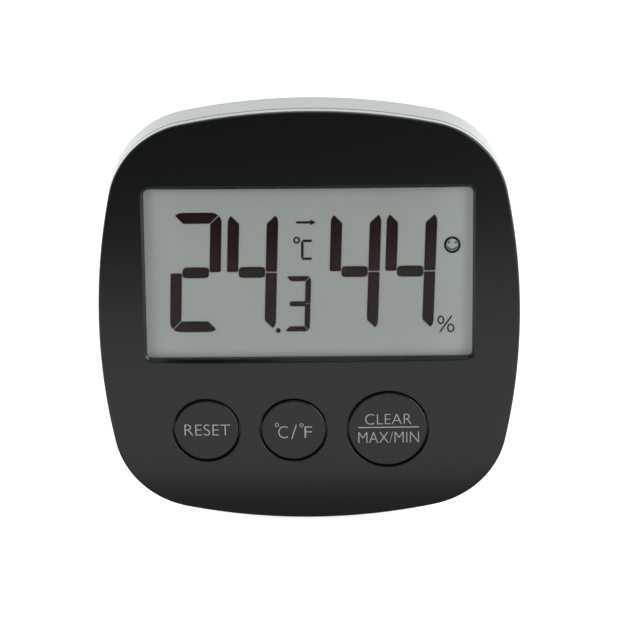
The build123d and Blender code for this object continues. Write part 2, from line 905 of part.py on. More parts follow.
# Battery cell and its contacts, with the spring at the left
cell_left = -bay_length / 2 + contact_thickness + spring_length
with BuildPart() as battery_cell:
    with BuildSketch(side_plane(cell_left)):
        with Locations((cell_rise, cell_level)):
            Circle(cell_radius)
    extrude(amount=cell_length - cell_nub_length)
    fillet(battery_cell.edges().filter_by(GeomType.CIRCLE), cell_edge_round)
    with BuildSketch(side_plane(cell_left + cell_length - cell_nub_length)):
        with Locations((cell_rise, cell_level)):
            Circle(cell_nub_radius)
    extrude(amount=cell_nub_length)
save(battery_cell, "battery_cell")

tail_length = board_back - cell_level
for name, side in (("negative", -1), ("positive", 1)):
    with BuildPart() as contact:
        with BuildSketch(side_plane(side * bay_length / 2)):
            with Locations((cell_rise, cell_level)):
                Rectangle(contact_width, contact_width)
                Rectangle(contact_tail_width, tail_length, align=(Align.CENTER, Align.MIN))
        extrude(amount=-side * contact_thickness)
        if side > 0:
            with BuildSketch(side_plane(bay_length / 2 - contact_thickness)):
                with Locations((cell_rise, cell_level)):
                    Circle(contact_dimple_radius)
            extrude(amount=-contact_dimple_depth)
    save(contact, f"{name}_contact")

spring_point = case_plane.from_local_coords(
    (-bay_length / 2 + contact_thickness + spring_wire_radius, cell_rise, cell_level)
)
with BuildPart() as contact_spring:
    with BuildLine():
        coil = Helix(
            spring_pitch,
            spring_length - 2 * spring_wire_radius,
            spring_base_radius,
            center=spring_point,
            direction=(1, 0, 0),
            cone_angle=spring_cone_angle,
        )
    with BuildSketch(Plane(origin=coil @ 0, z_dir=coil % 0)):
        Circle(spring_wire_radius)
    sweep(is_frenet=True)
save(contact_spring, "contact_spring")

# Battery door: ribs under the cell, grip grooves by the tab and two stub pins
with BuildPart() as battery_door:
    with BuildSketch(level(-rear_depth)):
        door_outline()
    extrude(amount=door_thickness)
    with BuildSketch(side_plane(-door_length / 2)):
        with Locations((door_pin_y, door_pin_level)):
            Rectangle(door_thickness, door_thickness, align=(Align.MAX, Align.CENTER))
            Circle(door_thickness / 2, mode=Mode.SUBTRACT)
    extrude(amount=door_length, mode=Mode.SUBTRACT)
    with BuildSketch(level(door_level)):
        with Locations((0, cell_rise)):
            with GridLocations(door_rib_pitch, 0, door_rib_count, 1):
                Rectangle(door_rib_width, bay_height - 2 * cell_side_gap)
    extrude(amount=door_rib_height)
    grip_y = cell_rise + door_height / 2 + door_tab_length
    with BuildSketch(level(-rear_depth)):
        with Locations((0, grip_y - door_grip_pitch * (door_grip_count + 1) / 2)):
            with GridLocations(0, door_grip_pitch, 1, door_grip_count):
                Rectangle(door_tab_width - 2 * door_grip_width, door_grip_width)
    extrude(amount=door_grip_depth, mode=Mode.SUBTRACT)
    pin_run = door_length + 2 * door_pin_length
    with BuildSketch(side_plane(-pin_run / 2)):
        with Locations((door_pin_y, door_pin_level)):
            Circle(door_pin_radius)
    extrude(amount=pin_run)
save(battery_door, "battery_door")

# Stand plate with its barrel, pins and dished outer face, and the rubber pad at its tip
plate_end = stand_run(pad_thickness, -stand_barrel_radius)
with BuildPart() as stand:
    with BuildSketch(stand_section):
        with BuildLine():
            Polyline(
                (0, -stand_barrel_radius),
                (plate_end, -stand_barrel_radius),
                (stand_length, stand_upper),
                (0, stand_upper),
                close=True,
            )
        make_face()
        Circle(stand_barrel_radius)
    extrude(amount=stand_width / 2, both=True)
    dish_length = plate_end - stand_barrel_radius
    with BuildSketch(stand_face.offset(-stand_barrel_radius)):
        with Locations((0, stand_barrel_radius + dish_length / 2)):
            RectangleRounded(
                stand_width - 2 * stand_dish_margin,
                dish_length - 2 * stand_dish_margin,
                stand_dish_margin / 2,
            )
    extrude(amount=stand_dish_depth, mode=Mode.SUBTRACT)
    stand_trim()
    with BuildSketch(stand_section):
        Circle(stand_pin_radius)
    extrude(amount=stand_width / 2 + stand_pin_length, both=True)
save(stand, "stand")

with BuildPart() as stand_pad:
    with BuildSketch(stand_section):
        with BuildLine():
            Polyline(
                (plate_end, -stand_barrel_radius),
                (stand_run(0, -stand_barrel_radius), -stand_barrel_radius),
                (pad_tip, stand_upper),
                (stand_length, stand_upper),
                close=True,
            )
        make_face()
    extrude(amount=stand_width / 2, both=True)
    stand_trim()
save(stand_pad, "stand_pad")

for name, centre in zip(("left", "right"), magnet_centres):
    with BuildPart() as magnet:
        round_pegs(-rear_depth, [centre], magnet_radius, magnet_thickness)
    save(magnet, f"{name}_magnet")
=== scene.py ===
"""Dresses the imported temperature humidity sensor: finishes, display marks, legends, studio.

Lengths on the face are in millimetres, in the case's own frame: x to the right, y up the
face, z out of it, counted from a level just behind the front frame's web. They become
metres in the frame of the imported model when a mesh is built.
"""

import logging
import math
from collections.abc import Callable, Sequence
from dataclasses import dataclass, field, replace
from enum import Enum

import bpy
from mathutils import Matrix, Vector


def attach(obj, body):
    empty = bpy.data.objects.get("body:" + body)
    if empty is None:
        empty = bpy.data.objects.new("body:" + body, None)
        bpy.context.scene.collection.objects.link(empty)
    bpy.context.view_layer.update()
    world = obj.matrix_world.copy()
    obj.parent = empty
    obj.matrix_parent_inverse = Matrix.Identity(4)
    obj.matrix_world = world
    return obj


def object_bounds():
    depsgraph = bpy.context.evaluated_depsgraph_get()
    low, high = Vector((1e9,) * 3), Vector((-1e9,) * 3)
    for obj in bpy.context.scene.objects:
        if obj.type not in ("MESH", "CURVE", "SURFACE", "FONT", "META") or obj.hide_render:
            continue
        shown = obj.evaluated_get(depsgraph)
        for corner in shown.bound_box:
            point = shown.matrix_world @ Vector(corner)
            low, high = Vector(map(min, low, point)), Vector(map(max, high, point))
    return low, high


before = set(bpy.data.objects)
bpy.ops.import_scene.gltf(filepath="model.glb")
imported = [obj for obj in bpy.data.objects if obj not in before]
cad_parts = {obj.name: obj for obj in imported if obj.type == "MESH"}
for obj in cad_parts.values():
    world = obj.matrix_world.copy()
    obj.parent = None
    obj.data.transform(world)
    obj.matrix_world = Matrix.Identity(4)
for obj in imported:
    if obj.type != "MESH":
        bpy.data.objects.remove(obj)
cad_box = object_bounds()

MM = 0.001
LOG = logging.getLogger("sensor")

Point = tuple[float, float]
Place = tuple[float, float, float]
Colour = tuple[float, float, float]


def mirrored(outline: Sequence[Point], x: float, y: float) -> list[Point]:
    """Returns the outline with its x and y multiplied by the given signs."""
    return [(a * x, b * y) for a, b in outline]


def arc(centre: Point, radii: Point, start: float, end: float, steps: int) -> list[Point]:
    """Gives the points of an elliptic arc.

    Args:
        centre: the arc's centre.
        radii: its radii along x and y.
        start: the first angle in degrees.
        end: the last angle in degrees.
        steps: how many chords the arc has.

    Returns:
        The points from the first angle to the last.
    """
    turns = [math.radians(start + (end - start) * i / steps) for i in range(steps + 1)]
    return [
        (centre[0] + radii[0] * math.cos(t), centre[1] + radii[1] * math.sin(t)) for t in turns
    ]


def oval(centre: Point, radii: Point, steps: int) -> list[Point]:
    """Gives the points of a whole ellipse, counter-clockwise."""
    return arc(centre, radii, 0, 360, steps)[:-1]


@dataclass(frozen=True)
class CaseFace:
    """The leaning case's own frame, and the shallow dome that its front follows."""

    lean: float = math.radians(12.0)
    shift: float = -9.64343
    lift: float = 39.1541
    crown_top: float = 4.4
    crown_height: float = 0.7
    half_height: float = 39.0

    @property
    def crown_radius(self) -> float:
        """The radius of the dome."""
        return (self.half_height**2 + self.crown_height**2) / (2 * self.crown_height)

    def place(self, x: float, y: float, z: float) -> Vector:
        """Turns a point of the face into metres in the model's frame."""
        sin, cos = math.sin(self.lean), math.cos(self.lean)
        return Vector((x, self.shift + y * sin - z * cos, self.lift + y * cos + z * sin)) * MM

    def direction(self, x: float, y: float, z: float) -> Vector:
        """Turns a direction on the face into one in the model's frame."""
        return (self.place(x, y, z) - self.place(0, 0, 0)) / MM

    def crown(self, x: float, y: float) -> float:
        """Gives the height of the dome at a point of the face."""
        radius = self.crown_radius
        return self.crown_top - radius + math.sqrt(radius**2 - x**2 - y**2)


FACE = CaseFace()


@dataclass(frozen=True)
class CaseOutline:
    """The outline of the case: long arcs joined by tighter corner arcs."""

    half_width: float = 38.0
    half_height: float = 39.0
    top_radius: float = 112.0
    side_radius: float = 118.0
    corner_radius: float = 16.5

    @property
    def low(self) -> float:
        """The y of the top arc's centre."""
        return self.half_height - self.top_radius

    @property
    def left(self) -> float:
        """The x of the right side arc's centre."""
        return self.half_width - self.side_radius

    def _corner(self) -> Point:
        """Finds where the upper right corner arc meets both long arcs.

        Returns:
            The centre of the corner arc.
        """
        span = math.hypot(self.left, self.low)
        top_reach = self.top_radius - self.corner_radius
        side_reach = self.side_radius - self.corner_radius
        along = (span**2 + top_reach**2 - side_reach**2) / (2 * span)
        off = math.sqrt(top_reach**2 - along**2)
        return (
            (self.left * along - self.low * off) / span,
            self.low - (self.low * along + self.left * off) / span,
        )

    def points(self, inset: float, steps: int = 24) -> list[Point]:
        """Gives a line inside the outline.

        Args:
            inset: how far inside it runs.
            steps: how many chords each arc of a quarter has.

        Returns:
            Its points, counter-clockwise.
        """
        corner = self._corner()
        side_turn = math.degrees(math.atan2(corner[1], corner[0] - self.left))
        top_turn = math.degrees(math.atan2(corner[1] - self.low, corner[0]))
        quarter: list[Point] = []
        for centre, radius, start, end in (
            ((self.left, 0.0), self.side_radius, 0.0, side_turn),
            (corner, self.corner_radius, side_turn, top_turn),
            ((0.0, self.low), self.top_radius, top_turn, 90.0),
        ):
            reach = radius - inset
            quarter += arc(centre, (reach, reach), start, end, steps)[:-1]
        quarter.append((0.0, self.half_height - inset))
        upper = quarter + mirrored(quarter[-2::-1], -1, 1)
        return upper + mirrored(upper[-2:0:-1], 1, -1)


# Thin prints


@dataclass
class ThinPrint:
    """A thin piece drawn on the face, built up from flat shapes with a little thickness."""

    ground: Callable[[float, float], float]
    thickness: float = 0.02
    layer: float = 0.001
    corners: list[Vector] = field(default_factory=list)
    faces: list[tuple[int, ...]] = field(default_factory=list)
    shapes: int = 0

    def _levels(self, outline: Sequence[Point]) -> tuple[int, int]:
        """Adds the corners of an outline at its bottom and its top level.

        Args:
            outline: the outline on the face.

        Returns:
            The number of the first corner at the bottom, and of the first at the top.
        """
        top = self.thickness + self.layer * self.shapes
        starts = []
        for height in (0.0, top):
            starts.append(len(self.corners))
            self.corners += [FACE.place(x, y, self.ground(x, y) + height) for x, y in outline]
        return starts[0], starts[1]

    def prism(self, outline: Sequence[Point]) -> None:
        """Adds a filled shape.

        Args:
            outline: its corners, counter-clockwise.
        """
        low, high = self._levels(outline)
        count = len(outline)
        self.faces.append(tuple(range(high, high + count)))
        self.faces.append(tuple(range(low + count - 1, low - 1, -1)))
        for i in range(count):
            j = (i + 1) % count
            self.faces.append((low + i, low + j, high + j, high + i))
        self.shapes += 1

    def band(self, left: Sequence[Point], right: Sequence[Point], closed: bool) -> None:
        """Adds the band between two lines that run side by side.

        Args:
            left: the points on its left, seen along the line.
            right: as many points on its right.
            closed: whether the band joins its own start.
        """
        left_low, left_high = self._levels(left)
        right_low, right_high = self._levels(right)
        count = len(left)
        for i in range(count if closed else count - 1):
            j = (i + 1) % count
            self.faces += [
                (right_high + i, right_high + j, left_high + j, left_high + i),
                (left_low + i, left_low + j, right_low + j, right_low + i),
                (left_high + i, left_high + j, left_low + j, left_low + i),
                (right_low + i, right_low + j, right_high + j, right_high + i),
            ]
        if not closed:
            end = count - 1
            self.faces.append((left_low, right_low, right_high, left_high))
            self.faces.append(
                (right_low + end, left_low + end, left_high + end, right_high + end)
            )
        self.shapes += 1

    def build(self, name: str, slot: str, body: str, material: bpy.types.Material) -> None:
        """Makes the piece and lets it ride on its body.

        Args:
            name: the piece's name.
            slot: not used.
            body: the body that it moves with.
            material: what it is made of.
        """
        mesh = bpy.data.meshes.new(name)
        mesh.from_pydata(self.corners, [], self.faces)
        mesh.materials.append(material)
        mesh.update()
        piece = bpy.data.objects.new(name, mesh)
        bpy.context.scene.collection.objects.link(piece)
        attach(piece, body)
        LOG.info("%s rides on %s", name, body)


@dataclass(frozen=True)
class Mark:
    """A flat shape of the display or of a legend."""

    def draw(self, draft: ThinPrint) -> None:
        """Adds the mark to a print."""
        raise NotImplementedError


@dataclass(frozen=True)
class Patch(Mark):
    """A filled shape, given counter-clockwise."""

    outline: tuple[Point, ...]

    def draw(self, draft: ThinPrint) -> None:
        """Adds the shape to a print."""
        draft.prism(self.outline)


@dataclass(frozen=True)
class Dot(Mark):
    """A filled round or oval spot."""

    centre: Point
    radii: Point
    steps: int = 14

    def draw(self, draft: ThinPrint) -> None:
        """Adds the spot to a print."""
        draft.prism(oval(self.centre, self.radii, self.steps))


@dataclass(frozen=True)
class Ring(Mark):
    """A round or oval ring, given by its outer radii."""

    centre: Point
    radii: Point
    width: float
    steps: int = 40

    def draw(self, draft: ThinPrint) -> None:
        """Adds the ring to a print."""
        inner = oval(self.centre, tuple(r - self.width for r in self.radii), self.steps)
        draft.band(inner, oval(self.centre, self.radii, self.steps), True)


@dataclass(frozen=True)
class Stroke(Mark):
    """A pen stroke with round ends, given by its width and the points of its middle."""

    width: float
    line: tuple[Point, ...]
    tip_steps: int = 8

    def draw(self, draft: ThinPrint) -> None:
        """Adds the stroke and its two ends to a print.

        Args:
            draft: the print that takes them.
        """
        half, line = self.width / 2, self.line
        sides: tuple[list[Point], list[Point]] = ([], [])
        for i, (x, y) in enumerate(line):
            before, after = line[max(i - 1, 0)], line[min(i + 1, len(line) - 1)]
            along = Vector((after[0] - before[0], after[1] - before[1])).normalized()
            for side, sign in zip(sides, (1, -1)):
                side.append((x - sign * along.y * half, y + sign * along.x * half))
        draft.band(sides[0], sides[1], False)
        for tip, inner in ((line[0], line[1]), (line[-1], line[-2])):
            turn = math.degrees(math.atan2(tip[1] - inner[1], tip[0] - inner[0]))
            draft.prism(arc(tip, (half, half), turn - 90, turn + 90, self.tip_steps))


# Node work


@dataclass
class Graph:
    """Adds and joins the nodes of one tree."""

    tree: bpy.types.NodeTree

    def add(self, kind: str, **settings: object) -> bpy.types.Node:
        """Adds a node.

        Args:
            kind: the node's type, without the word ShaderNode in front.
            settings: its properties, by name.

        Returns:
            The new node.
        """
        node = self.tree.nodes.new("ShaderNode" + kind)
        for key, value in settings.items():
            setattr(node, key, value)
        return node

    def put(self, value: object, target: bpy.types.NodeSocket) -> None:
        """Gives an input its value.

        Args:
            value: a socket to link from, or a plain value.
            target: the input.
        """
        if isinstance(value, bpy.types.NodeSocket):
            self.tree.links.new(value, target)
        else:
            target.default_value = value

    def feed(self, node: bpy.types.Node, **values: object) -> bpy.types.Node:
        """Sets or links a node's inputs.

        Args:
            node: the node.
            values: what goes into each input. An underline in a name stands for a space,
                and i with a number for the input of that number.

        Returns:
            The same node.
        """
        for key, value in values.items():
            number = key[1:]
            name = int(number) if number.isdigit() else key.replace("_", " ")
            self.put(value, node.inputs[name])
        return node

    def math(self, operation: str, a: object, b: object = 0.0, clamp: bool = False) -> object:
        """Adds a math node and gives its result."""
        node = self.add("Math", operation=operation, use_clamp=clamp)
        return self.feed(node, i0=a, i1=b).outputs[0]

    def mix(self, factor: object, a: object, b: object) -> object:
        """Adds a colour mix and gives its result."""
        node = self.add("Mix", data_type="RGBA")
        return self.feed(node, i0=factor, i6=a, i7=b).outputs[2]

    def noise(self, where: object, scale: object, detail: float = 2.0) -> object:
        """Adds a noise texture and gives its value."""
        node = self.add("TexNoise")
        return self.feed(node, Vector=where, Scale=scale, Detail=detail).outputs["Fac"]


def rgba(colour: Colour) -> tuple[float, float, float, float]:
    """Adds a full alpha to a colour."""
    return (*colour, 1.0)


class Effect(Enum):
    """The effects that several finishes share, each one a node group."""

    GRAIN = "moulded_grain"
    EDGE = "painted_edge_highlight"
    DUST = "settled_dust"
    STREAK = "drawn_streaks"


@dataclass
class EffectLibrary:
    """Builds each shared node group once."""

    bevel_samples: int = 4
    fine_detail: float = 3.0
    fine_share: float = 0.7
    slow_scale: float = 120.0
    slow_share: float = 0.3
    noise_middle: float = 0.5
    speck_scale: float = 900.0
    speck_detail: float = 4.0
    speck_power: float = 3.0
    streak_squeeze: Place = (0.04, 1.0, 1.0)
    groups: dict[Effect, bpy.types.NodeTree] = field(default_factory=dict)

    def _start(
        self, effect: Effect, inputs: dict[str, float], outputs: dict[str, str]
    ) -> tuple[Graph, bpy.types.Node, bpy.types.Node]:
        """Starts a group with its named inputs and outputs.

        Args:
            effect: which effect it is.
            inputs: the value inputs and their defaults.
            outputs: the outputs and their kinds, Float or Vector.

        Returns:
            The group's graph, its input node and its output node.
        """
        tree = bpy.data.node_groups.new(effect.value, "ShaderNodeTree")
        for name, value in inputs.items():
            socket = tree.interface.new_socket(
                name, in_out="INPUT", socket_type="NodeSocketFloat"
            )
            socket.default_value = value
        for name, kind in outputs.items():
            tree.interface.new_socket(
                name, in_out="OUTPUT", socket_type="NodeSocket" + kind
            )
        self.groups[effect] = tree
        return Graph(tree), tree.nodes.new("NodeGroupInput"), tree.nodes.new("NodeGroupOutput")

    def build(self) -> None:
        """Builds every group."""
        for effect in (self._grain, self._edge, self._dust, self._streak):
            effect()

    def _surface(
        self, graph: Graph, given: bpy.types.Node, result: bpy.types.Node, rise: object,
        sheen: object,
    ) -> None:
        """Gives a group its roughness and a normal with rounded edges and fine relief.

        Args:
            graph: the group's graph.
            given: its input node.
            result: its output node.
            rise: the pattern of the relief.
            sheen: the pattern of the roughness.
        """
        centred = graph.math("SUBTRACT", sheen, self.noise_middle)
        swing = graph.math("MULTIPLY", centred, given.outputs["Spread"])
        rough = graph.math("ADD", given.outputs["Roughness"], swing, clamp=True)
        bevel = graph.add("Bevel", samples=self.bevel_samples)
        graph.feed(bevel, Radius=given.outputs["Rounding"])
        bump = graph.feed(
            graph.add("Bump"), Height=rise, Distance=given.outputs["Depth"], Strength=1.0,
            Normal=bevel.outputs["Normal"],
        )
        graph.feed(result, Roughness=rough, Normal=bump.outputs["Normal"])

    def _grain(self) -> None:
        """Fine spark-eroded grain over slow waves, as a mould leaves them on plastic."""
        graph, given, result = self._start(
            Effect.GRAIN,
            {
                "Size": 0.0003, "Depth": 0.00001, "Roughness": 0.5, "Spread": 0.1,
                "Rounding": 0.0,
            },
            {"Roughness": "Float", "Normal": "Vector"},
        )
        where = graph.add("TexCoord").outputs["Object"]
        scale = graph.math("DIVIDE", 1.0, given.outputs["Size"])
        fine = graph.noise(where, scale, self.fine_detail)
        slow = graph.noise(where, self.slow_scale)
        both = graph.math(
            "ADD", graph.math("MULTIPLY", fine, self.fine_share),
            graph.math("MULTIPLY", slow, self.slow_share),
        )
        self._surface(graph, given, result, fine, both)

    def _edge(self) -> None:
        """A mask of the rounded edges, where a painted highlight lightens the colour."""
        graph, given, result = self._start(
            Effect.EDGE, {"Width": 0.0002, "Gain": 4.0}, {"Mask": "Float"}
        )
        bevel = graph.add("Bevel", samples=self.bevel_samples)
        graph.feed(bevel, Radius=given.outputs["Width"])
        flat = graph.add("NewGeometry").outputs["Normal"]
        dot = graph.add("VectorMath", operation="DOT_PRODUCT")
        graph.feed(dot, i0=bevel.outputs["Normal"], i1=flat)
        bend = graph.math("SUBTRACT", 1.0, dot.outputs["Value"])
        graph.feed(result, Mask=graph.math("MULTIPLY", bend, given.outputs["Gain"], clamp=True))

    def _dust(self) -> None:
        """A mask of the faint dust on faces that look up."""
        graph, given, result = self._start(Effect.DUST, {"Amount": 0.1}, {"Mask": "Float"})
        where = graph.add("TexCoord").outputs["Object"]
        cloud = graph.noise(where, self.speck_scale, self.speck_detail)
        specks = graph.math("POWER", cloud, self.speck_power)
        up = graph.add("SeparateXYZ")
        graph.feed(up, Vector=graph.add("NewGeometry").outputs["Normal"])
        lying = graph.math("MULTIPLY", graph.math("MAXIMUM", up.outputs["Z"], 0.0), specks)
        mask = graph.math("MULTIPLY", lying, given.outputs["Amount"], clamp=True)
        graph.feed(result, Mask=mask)

    def _streak(self) -> None:
        """Fine lines along x, as rolling and drawing leave them on metal."""
        graph, given, result = self._start(
            Effect.STREAK,
            {
                "Size": 0.0001, "Depth": 0.000004, "Roughness": 0.3, "Spread": 0.2,
                "Rounding": 0.0,
            },
            {"Roughness": "Float", "Normal": "Vector"},
        )
        where = graph.add("Mapping")
        place = graph.add("TexCoord").outputs["Object"]
        graph.feed(where, Vector=place, Scale=self.streak_squeeze)
        scale = graph.math("DIVIDE", 1.0, given.outputs["Size"])
        lines = graph.noise(where.outputs["Vector"], scale, self.fine_detail)
        self._surface(graph, given, result, lines, lines)


EFFECTS = EffectLibrary()
DUST_COLOUR: Colour = (0.55, 0.53, 0.5)


@dataclass(frozen=True)
class Finish:
    """A moulded or painted surface: its colour, grain, painted edge highlight and dust. Lengths
    are metres.
    """

    slot: str
    colour: Colour
    roughness: float = 0.5
    spread: float = 0.12
    grain: float = 0.0003
    depth: float = 0.000004
    specular: float = 0.5
    metallic: float = 0.0
    rounding: float = 0.00012
    edge: float = 0.25
    edge_width: float = 0.00015
    edge_colour: Colour = (1.0, 1.0, 1.0)
    dust: float = 0.08
    cloud_scale: float = 60.0
    cloud_shade: float = 0.93
    effect: Effect = Effect.GRAIN

    def _group(self, graph: Graph, effect: Effect, **values: float) -> bpy.types.Node:
        """Places a shared effect in the material with its own values."""
        node = graph.add("Group", node_tree=EFFECTS.groups[effect])
        return graph.feed(node, **values)

    def _shaded(self, share: float) -> tuple[float, float, float, float]:
        """Gives a share of the colour."""
        return rgba(tuple(share * c for c in self.colour))

    def _tint(self, graph: Graph) -> object:
        """Gives the colour, slowly varied, before edges and dust."""
        cloud = graph.noise(graph.add("TexCoord").outputs["Object"], self.cloud_scale)
        return graph.mix(cloud, self._shaded(self.cloud_shade), rgba(self.colour))

    def _shine(self, graph: Graph, shader: bpy.types.Node) -> None:
        """Sets what only some finishes have."""
        shader.inputs["Metallic"].default_value = self.metallic

    def make(self) -> bpy.types.Material:
        """Builds the material.

        Returns:
            The new material, named after its slot.
        """
        material = bpy.data.materials.new(self.slot)
        material.use_nodes = True
        material.node_tree.nodes.clear()
        graph = Graph(material.node_tree)
        shader = graph.add("BsdfPrincipled")
        shader.inputs["Specular IOR Level"].default_value = self.specular
        surface = self._group(
            graph, self.effect, Size=self.grain, Depth=self.depth,
            Roughness=self.roughness, Spread=self.spread, Rounding=self.rounding,
        )
        tint = self._tint(graph)
        # Painted highlight: the colour is lightened toward edge_colour along rounded edges.
        if self.edge:
            mask = self._group(graph, Effect.EDGE, Width=self.edge_width).outputs["Mask"]
            edge_highlight = graph.math("MULTIPLY", mask, self.edge)
            tint = graph.mix(edge_highlight, tint, rgba(self.edge_colour))
        if self.dust:
            mask = self._group(graph, Effect.DUST, Amount=self.dust).outputs["Mask"]
            tint = graph.mix(mask, tint, rgba(DUST_COLOUR))
        graph.feed(
            shader, Base_Color=tint, Roughness=surface.outputs["Roughness"],
            Normal=surface.outputs["Normal"],
        )
        self._shine(graph, shader)
        graph.feed(graph.add("OutputMaterial"), Surface=shader.outputs["BSDF"])
        return material


@dataclass(frozen=True)
class ClearFinish(Finish):
    """A clear sheet that only shows by what it mirrors."""

    mirror: float = 0.15
    index: float = 1.49

    def _shine(self, graph: Graph, shader: bpy.types.Node) -> None:
        """Lets the sheet mirror more the flatter it is looked at.

        Args:
            graph: the material's graph.
            shader: its shader.
        """
        shader.inputs["Metallic"].default_value = 1.0
        fresnel = graph.feed(graph.add("Fresnel"), IOR=self.index)
        graph.feed(shader, Alpha=graph.math("MULTIPLY", fresnel.outputs["Fac"], self.mirror))


@dataclass(frozen=True)
class FilmFinish(Finish):
    """The display's grey film, with painted light toward its left, right and lower edges that
    offsets the shade the window's walls cast there.
    """

    # How much painted light each edge gets, and how fast it fades inward.
    left_gain: float = 0.6
    left_power: float = 24.0
    right_gain: float = 0.8
    right_power: float = 18.0
    low_gain: float = 0.62
    low_power: float = 16.0

    def _tint(self, graph: Graph) -> object:
        """Lightens the colour toward the left, right and lower edge, painted light that offsets
        the shade the window's walls cast on the film.

        Args:
            graph: the material's graph.

        Returns:
            The socket of the colour.
        """
        place = graph.add("SeparateXYZ")
        graph.feed(place, Vector=graph.add("TexCoord").outputs["Generated"])
        x, z = place.outputs["X"], place.outputs["Z"]
        # Painted light: the film's colour is raised near the edges where the window's walls shade
        # it.
        painted_light_gain: object = 1.0
        for share, power, gain in (
            (graph.math("SUBTRACT", 1.0, x), self.left_power, self.left_gain),
            (x, self.right_power, self.right_gain),
            (graph.math("SUBTRACT", 1.0, z), self.low_power, self.low_gain),
        ):
            rise = graph.math("MULTIPLY", graph.math("POWER", share, power), gain)
            painted_light_gain = graph.math("ADD", painted_light_gain, rise)
        lit = graph.add("VectorMath", operation="SCALE")
        graph.feed(lit, i0=super()._tint(graph), Scale=painted_light_gain)
        return lit.outputs["Vector"]


@dataclass(frozen=True)
class SeamedFinish(Finish):
    """A case half with painted shade in a narrow band along the seam.

    The level and half width of the shaded band are millimetres on the face.
    """

    shade_level: float = 1.23
    shade_half: float = 0.17
    shade: float = 0.38

    def _tint(self, graph: Graph) -> object:
        """Darkens the colour in a narrow band along the seam, painted shade where the seam's
        shadow line falls.

        Args:
            graph: the material's graph.

        Returns:
            The socket of the colour.
        """
        out = FACE.direction(0, 0, 1)
        level = graph.add("VectorMath", operation="DOT_PRODUCT")
        graph.feed(level, i0=graph.add("TexCoord").outputs["Object"], i1=out)
        middle = FACE.place(0, 0, self.shade_level).dot(out)
        away = graph.math("ABSOLUTE", graph.math("SUBTRACT", level.outputs["Value"], middle))
        near = graph.math("LESS_THAN", away, self.shade_half * MM)
        # Painted shade: the band near the seam takes a darker share of the colour.
        return graph.mix(near, super()._tint(graph), self._shaded(self.shade))


@dataclass(frozen=True)
class BoardFinish(Finish):
    """Solder mask over copper tracks."""

    track: Colour = (0.03, 0.16, 0.06)
    cell_scale: float = 310.0
    track_width: float = 0.08

    def _tint(self, graph: Graph) -> object:
        """Draws square copper tracks under the mask.

        Args:
            graph: the material's graph.

        Returns:
            The socket of the colour.
        """
        where = graph.add("TexCoord").outputs["Object"]
        cells = graph.add("TexVoronoi", distance="CHEBYCHEV", feature="DISTANCE_TO_EDGE")
        graph.feed(cells, Vector=where, Scale=self.cell_scale)
        line = graph.math("LESS_THAN", cells.outputs["Distance"], self.track_width)
        return graph.mix(line, rgba(self.colour), rgba(self.track))


@dataclass(frozen=True)
class SleeveFinish(Finish):
    """The sleeve of the cell: two plain colours along its length and bare steel ends."""

    band: Colour = (0.55, 0.25, 0.06)
    steel: Colour = (0.55, 0.56, 0.57)
    split: float = 0.009
    steel_from: float = 0.0243
    steel_to: float = -0.0175

    def _along(self, graph: Graph) -> object:
        """Gives the place along the cell in metres."""
        place = graph.add("SeparateXYZ")
        return graph.feed(place, Vector=graph.add("TexCoord").outputs["Object"]).outputs["X"]

    def _bare(self, graph: Graph, x: object) -> object:
        """Masks the ends that the sleeve leaves bare."""
        ends = graph.math("GREATER_THAN", x, self.steel_from)
        return graph.math("ADD", ends, graph.math("LESS_THAN", x, self.steel_to), clamp=True)

    def _tint(self, graph: Graph) -> object:
        """Bands the sleeve.

        Args:
            graph: the material's graph.

        Returns:
            The socket of the colour.
        """
        x = self._along(graph)
        banded = graph.math("GREATER_THAN", x, self.split)
        sleeve = graph.mix(banded, rgba(self.colour), rgba(self.band))
        return graph.mix(self._bare(graph, x), sleeve, rgba(self.steel))

    def _shine(self, graph: Graph, shader: bpy.types.Node) -> None:
        """Makes the bare ends metal."""
        graph.feed(shader, Metallic=self._bare(graph, self._along(graph)))


